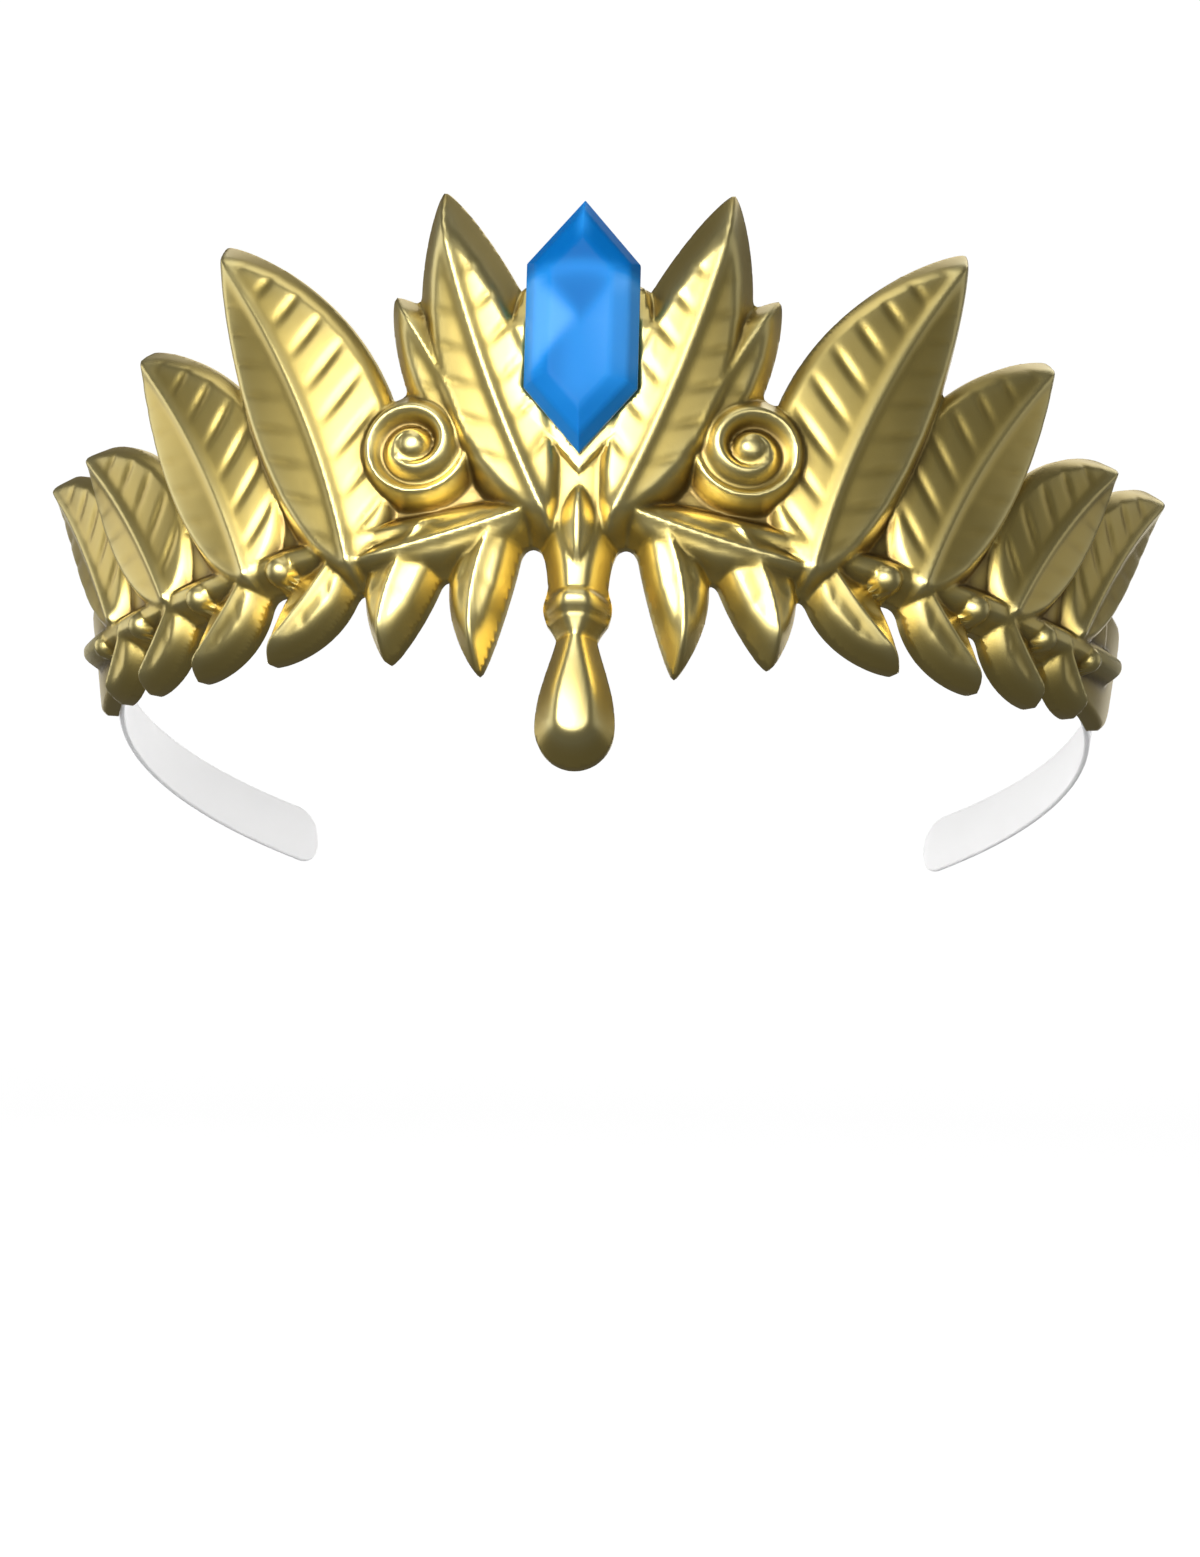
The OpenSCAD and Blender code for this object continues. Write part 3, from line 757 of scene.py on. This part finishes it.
def soften(body, edges, size, steps):
    """Rounds the edges of a body."""
    bmesh.ops.bevel(
        body, geom=edges, offset=size, segments=steps, profile=0.5, affect="EDGES",
        clamp_overlap=True,
    )


def build_stone():
    """The cut stone. Its skin is fine enough to carry the painted reflections of facets behind it.
    """
    body = bmesh.new()
    rings = []
    for inset, height in STONE_LEVELS:
        ring = stone_ring(inset * STONE_HALF, STONE_GAP + height * STONE_DEPTH)
        rings.append([body.verts.new(point) for point in ring])
    for low, high in zip(rings, rings[1:]):
        for k in range(len(low)):
            after = (k + 1) % len(low)
            body.faces.new((low[k], low[after], high[after], high[k]))
    body.faces.new(reversed(rings[0]))
    table = body.faces.new(rings[-1])
    bmesh.ops.recalc_face_normals(body, faces=body.faces)
    front_edges = list(table.edges)
    front_edges += [edge for edge in body.edges if all(vert in rings[-2] for vert in edge.verts)]
    soften(body, front_edges, *FRONT_EDGES)
    sharp_edges = [edge for edge in body.edges if edge.calc_face_angle() > FACET_ANGLE]
    soften(body, sharp_edges, *OTHER_EDGES)
    bmesh.ops.triangulate(body, faces=body.faces)
    long_edges = [edge for edge in body.edges if edge.calc_length() > LONG_EDGE]
    bmesh.ops.subdivide_edges(body, edges=long_edges, cuts=LONG_EDGE_CUTS, use_grid_fill=True)
    bmesh.ops.triangulate(body, faces=body.faces)
    # Painted reflections and highlights, written on each point of the stone as its tone
    tones = [painted_stone_reflections(vert.co.x, vert.co.z - STONE_MID) for vert in body.verts]
    body.transform(stone_to_frame())
    mesh = bpy.data.meshes.new("blue_stone")
    body.to_mesh(mesh)
    body.free()
    shade_smooth(mesh, FACET_ANGLE)
    write_attribute(mesh, "tone", np.array(tones))
    return add_piece("blue_stone", mesh, stone_material(), "stone")


# The straps

def strap_section(half):
    """Points round a strap's section: along its width, and out from the wall's inner face."""
    thick_half = STRAP_THICKNESS / 2
    points = []
    for turn, (side, face) in enumerate(((1, 1), (-1, 1), (-1, -1), (1, -1))):
        for step in range(4):
            angle = math.radians(90 * turn + 30 * step)
            across = (half - STRAP_EDGE) * side + STRAP_EDGE * math.cos(angle)
            out = (thick_half - STRAP_EDGE) * face + STRAP_EDGE * math.sin(angle)
            points.append((across, out - thick_half - STRAP_GAP))
    return points


def build_strap(name, side):
    """A strap that lies flat on its tab and goes on along the curve of the head."""
    half = STRAP_WIDTH / 2
    straight = STRAP_LENGTH - STRAP_CORNER
    runs = [straight * i / STRAP_STEPS for i in range(STRAP_STEPS + 1)]
    for i in range(1, STRAP_END_STEPS + 1):
        turn = math.radians(STRAP_END_TURN * i / STRAP_END_STEPS)
        runs.append(straight + STRAP_CORNER * math.sin(turn))
    points = []
    for run in runs:
        past = max(run - straight, 0) / STRAP_CORNER
        wide = half - STRAP_CORNER * (1 - math.sqrt(1 - past * past))
        middle = STRAP_MIDDLE - STRAP_FALL * (run / STRAP_LENGTH) ** STRAP_FALL_POWER
        section = strap_section(wide)
        for across, out in section:
            points.append(place(side * (STRAP_START + run), middle - side * across, out).tolist())
    count = len(section)
    faces = ring_faces(len(runs), count)
    faces.append(tuple(range(count))[::-1])
    faces.append(tuple(range(len(points) - count, len(points))))
    mesh = bpy.data.meshes.new(name + "_strip")
    mesh.from_pydata(points, [], faces)
    body = bmesh.new()
    body.from_mesh(mesh)
    bmesh.ops.recalc_face_normals(body, faces=body.faces)
    body.to_mesh(mesh)
    body.free()
    shade_smooth(mesh, STRAP_SHARP)
    return add_piece(name + "_strip", mesh, strap_material(), name)


# Materials

def new_material(name):
    material = bpy.data.materials.new(name)
    material.use_nodes = True
    nodes = material.node_tree.nodes
    return material, nodes, material.node_tree.links, nodes["Principled BSDF"]


def noise(nodes, links, coordinates, scale, detail):
    texture = nodes.new("ShaderNodeTexNoise")
    texture.inputs["Scale"].default_value = scale
    texture.inputs["Detail"].default_value = detail
    links.new(coordinates.outputs["Object"], texture.inputs["Vector"])
    return texture


def ramp(nodes, links, source, stops):
    node = nodes.new("ShaderNodeValToRGB")
    elements = node.color_ramp.elements
    while len(elements) < len(stops):
        elements.new(0.5)
    for element, (position, colour) in zip(elements, stops):
        element.position = position
        element.color = (*colour, 1)
    links.new(source, node.inputs["Fac"])
    return node


def bump(nodes, links, source, strength, distance, before=None):
    node = nodes.new("ShaderNodeBump")
    node.inputs["Strength"].default_value = strength
    node.inputs["Distance"].default_value = distance
    links.new(source, node.inputs["Height"])
    if before is not None:
        links.new(before.outputs["Normal"], node.inputs["Normal"])
    return node


def map_range(nodes, links, source, low, high):
    node = nodes.new("ShaderNodeMapRange")
    node.inputs["To Min"].default_value = low
    node.inputs["To Max"].default_value = high
    links.new(source, node.inputs["Value"])
    return node


def gold_material():
    """Satin gold paint with painted shade: darker in the hollows, and paler on the ridges."""
    material, nodes, links, shader = new_material("satin_gold")
    coordinates = nodes.new("ShaderNodeTexCoord")
    hollow = nodes.new("ShaderNodeAttribute")
    hollow.attribute_name = "hollow"
    # Painted shade: dark brown in the hollows, mid gold on even faces, pale gold on the ridges
    tone = ramp(
        nodes, links, hollow.outputs["Fac"],
        ((0.05, (0.24, 0.16, 0.04)), (0.48, (0.72, 0.555, 0.16)), (0.85, (0.86, 0.73, 0.31))),
    )
    links.new(tone.outputs["Color"], shader.inputs["Base Color"])
    shader.inputs["Metallic"].default_value = 1.0
    shader.inputs["Coat Weight"].default_value = 0.5
    shader.inputs["Coat Roughness"].default_value = 0.3
    cloud = noise(nodes, links, coordinates, scale=55, detail=3)
    rough = map_range(nodes, links, cloud.outputs["Fac"], low=0.32, high=0.42)
    links.new(rough.outputs["Result"], shader.inputs["Roughness"])
    wave = noise(nodes, links, coordinates, scale=130, detail=1)
    grain = noise(nodes, links, coordinates, scale=3200, detail=2)
    soft = bump(nodes, links, wave.outputs["Fac"], strength=0.20, distance=0.0004)
    fine = bump(
        nodes, links, grain.outputs["Fac"], strength=0.12, distance=0.00006, before=soft
    )
    links.new(fine.outputs["Normal"], shader.inputs["Normal"])
    return material


def stone_material():
    """Blue resin with a soft gloss, whose colour follows the painted reflections written on the
    stone.
    """
    material, nodes, links, shader = new_material("blue_resin")
    painted_reflection = nodes.new("ShaderNodeAttribute")
    painted_reflection.attribute_name = "tone"
    # Painted reflections: the written tone runs the blue from dark to light
    tone = ramp(
        nodes, links, painted_reflection.outputs["Fac"],
        ((0.0, (0.002, 0.125, 0.41)), (0.5, (0.018, 0.235, 0.66)), (1.0, (0.10, 0.375, 0.85))),
    )
    links.new(tone.outputs["Color"], shader.inputs["Base Color"])
    shader.inputs["Roughness"].default_value = 0.30
    shader.inputs["Specular IOR Level"].default_value = 0.04
    shader.inputs["Subsurface Weight"].default_value = 0.15
    shader.inputs["Subsurface Radius"].default_value = (0.3, 0.6, 1.0)
    shader.inputs["Subsurface Scale"].default_value = 0.002
    shader.inputs["Coat Weight"].default_value = 0.03
    shader.inputs["Coat Roughness"].default_value = 0.10
    return material


def strap_material():
    """Frosted plastic, nearly white."""
    material, nodes, links, shader = new_material("frosted_strap")
    coordinates = nodes.new("ShaderNodeTexCoord")
    cloud = noise(nodes, links, coordinates, scale=45, detail=2)
    tone = ramp(
        nodes, links, cloud.outputs["Fac"],
        ((0.3, (0.89, 0.89, 0.895)), (0.7, (0.93, 0.93, 0.935))),
    )
    links.new(tone.outputs["Color"], shader.inputs["Base Color"])
    shader.inputs["Roughness"].default_value = 0.55
    shader.inputs["Specular IOR Level"].default_value = 0.1
    shader.inputs["Transmission Weight"].default_value = 0.2
    shader.inputs["IOR"].default_value = 1.3
    grain = noise(nodes, links, coordinates, scale=2600, detail=2)
    fine = bump(nodes, links, grain.outputs["Fac"], strength=0.15, distance=0.00005)
    links.new(fine.outputs["Normal"], shader.inputs["Normal"])
    return material


# The studio

# Camera, in metres, and in pixels of the photograph's frame
CAMERA_TARGET = Vector((0.0, -0.060, 0.020))
CAMERA_DISTANCE = 0.950
CAMERA_AZIMUTH = math.radians(3.5)
CAMERA_ROLL = math.radians(0.78)
FOCAL_PX = 5903.0
FRAME_PX = (1200.0, 1557.0)
TARGET_PX = (585.6, 575.5)
SENSOR = 36.0
CLIP_START = 0.01

# Room: level of its floor, radius, bend from floor to wall, heights of wall and ceiling, sides
FLOOR_Z = -0.30
ROOM_RADIUS = 4.0
ROOM_BEND = 1.5
ROOM_HEIGHTS = (4.0, 5.0)
ROOM_SIDES = 64

# Light from all around, and the two places that the soft lights are aimed at
WORLD_STRENGTH = 0.09
MIDDLE = (0.0, -0.05, 0.03)
BEHIND = (0.0, 0.03, 0.0)
# Soft lights: name, place, aim, width and height, power, and whether the gold mirrors it
SOFT_LIGHTS = (
    ("key", (-0.38, -1.25, 0.45), MIDDLE, (1.0, 0.8), 16, True),
    ("front", (-0.10, -1.60, 0.10), MIDDLE, (2.6, 1.3), 16, True),
    ("left", (-1.30, 0.35, 0.15), MIDDLE, (1.0, 1.1), 3.2, True),
    ("right", (1.30, 0.35, 0.15), MIDDLE, (1.0, 1.1), 1.0, True),
    ("top", (-0.10, -0.10, 1.2), MIDDLE, (1.2, 0.6), 2.5, True),
    ("back", (0.30, 1.40, 0.90), MIDDLE, (1.4, 0.8), 4, True),
    ("back_low", (0.0, 1.35, -0.12), MIDDLE, (1.5, 0.5), 2.2, True),
    ("wash_left", (-0.9, 0.8, 0.2), BEHIND, (0.8, 0.8), 10.5, False),
    ("wash_right", (0.9, 0.8, 0.2), BEHIND, (0.8, 0.8), 12.5, False),
    ("floor_bounce", (0, 0.1, -0.25), BEHIND, (1.2, 1.2), 1.6, False),
)
# Small lamp in the head opening, which lifts the inner faces of the straps
HEAD_FILL_PLACE = (0, 0, -0.01)
HEAD_FILL_SIZE = 0.03
HEAD_FILL_POWER = 0.06


def build_camera():
    """The camera stands level with the diadem and aims a little below it, as in the photograph."""
    back = Vector((math.sin(CAMERA_AZIMUTH), -math.cos(CAMERA_AZIMUTH), 0))
    level = Vector((math.cos(CAMERA_AZIMUTH), math.sin(CAMERA_AZIMUTH), 0))
    right = level * math.cos(CAMERA_ROLL) + Vector((0, 0, 1)) * math.sin(CAMERA_ROLL)
    up = back.cross(right)
    off_x = (FRAME_PX[0] / 2 - TARGET_PX[0]) / FOCAL_PX
    off_y = (FRAME_PX[1] / 2 - TARGET_PX[1]) / FOCAL_PX
    aim = (-back + right * off_x - up * off_y).normalized()
    right = (right - aim * right.dot(aim)).normalized()
    up = right.cross(aim)
    data = bpy.data.cameras.new("camera")
    data.sensor_width = SENSOR
    data.lens = FOCAL_PX * SENSOR / FRAME_PX[1]
    data.clip_start = CLIP_START
    camera = add_object("camera", data)
    turn = Matrix((right, up, -aim)).transposed().to_4x4()
    camera.matrix_world = Matrix.Translation(CAMERA_TARGET + back * CAMERA_DISTANCE) @ turn
    bpy.context.scene.camera = camera


def build_room():
    """A pale round room, whose floor sweeps up into its wall. The gold doesn't mirror it."""
    flat = ROOM_RADIUS - ROOM_BEND
    profile = [(0.0, 0.0), (1.0, 0.0), (flat, 0.0)]
    for turn in (math.radians(degrees) for degrees in range(6, 91, 6)):
        profile.append((flat + ROOM_BEND * math.sin(turn), ROOM_BEND * (1 - math.cos(turn))))
    profile += [(ROOM_RADIUS, ROOM_HEIGHTS[0]), (0.0, ROOM_HEIGHTS[1])]
    turns = [2 * math.pi * k / ROOM_SIDES for k in range(ROOM_SIDES)]
    points = [
        (out * math.cos(turn), out * math.sin(turn), FLOOR_Z + z)
        for out, z in profile
        for turn in turns
    ]
    mesh = bpy.data.meshes.new("room")
    mesh.from_pydata(points, [], ring_faces(len(profile), ROOM_SIDES))
    shade_smooth(mesh)
    material, _, _, shader = new_material("room_paper")
    shader.inputs["Base Color"].default_value = (0.85, 0.85, 0.85, 1)
    shader.inputs["Roughness"].default_value = 1.0
    shader.inputs["Specular IOR Level"].default_value = 0.0
    shader.inputs["Emission Color"].default_value = (1, 1, 1, 1)
    shader.inputs["Emission Strength"].default_value = 0.88
    material.cycles.emission_sampling = "NONE"
    mesh.materials.append(material)
    room = add_object("room", mesh)
    room.visible_diffuse = False
    room.visible_glossy = False
    room.visible_transmission = False
    room.visible_shadow = False


def add_light(name, kind, place_at, power, mirrored):
    """A light that the camera doesn't see."""
    data = bpy.data.lights.new(name, kind)
    data.energy = power
    light = add_object(name, data)
    light.location = place_at
    light.visible_camera = False
    light.visible_glossy = mirrored
    return light


def build_lights():
    """A faint white world, the soft lights, and the small lamp."""
    world = bpy.data.worlds.new("studio")
    world.use_nodes = True
    background = world.node_tree.nodes["Background"]
    background.inputs["Color"].default_value = (1, 1, 1, 1)
    background.inputs["Strength"].default_value = WORLD_STRENGTH
    bpy.context.scene.world = world
    for name, place_at, look_at, size, power, mirrored in SOFT_LIGHTS:
        light = add_light(name, "AREA", place_at, power, mirrored)
        light.data.shape = "RECTANGLE"
        light.data.size, light.data.size_y = size
        aim = Vector(look_at) - Vector(place_at)
        light.rotation_euler = aim.to_track_quat("-Z", "Y").to_euler()
    fill = add_light("head_fill", "POINT", HEAD_FILL_PLACE, HEAD_FILL_POWER, False)
    fill.data.shadow_soft_size = HEAD_FILL_SIZE


build_camera()
build_moulding()
build_stone()
build_strap("strap_left", 1)
build_strap("strap_right", -1)
build_room()
build_lights()
bpy.context.scene.view_settings.view_transform = "Standard"
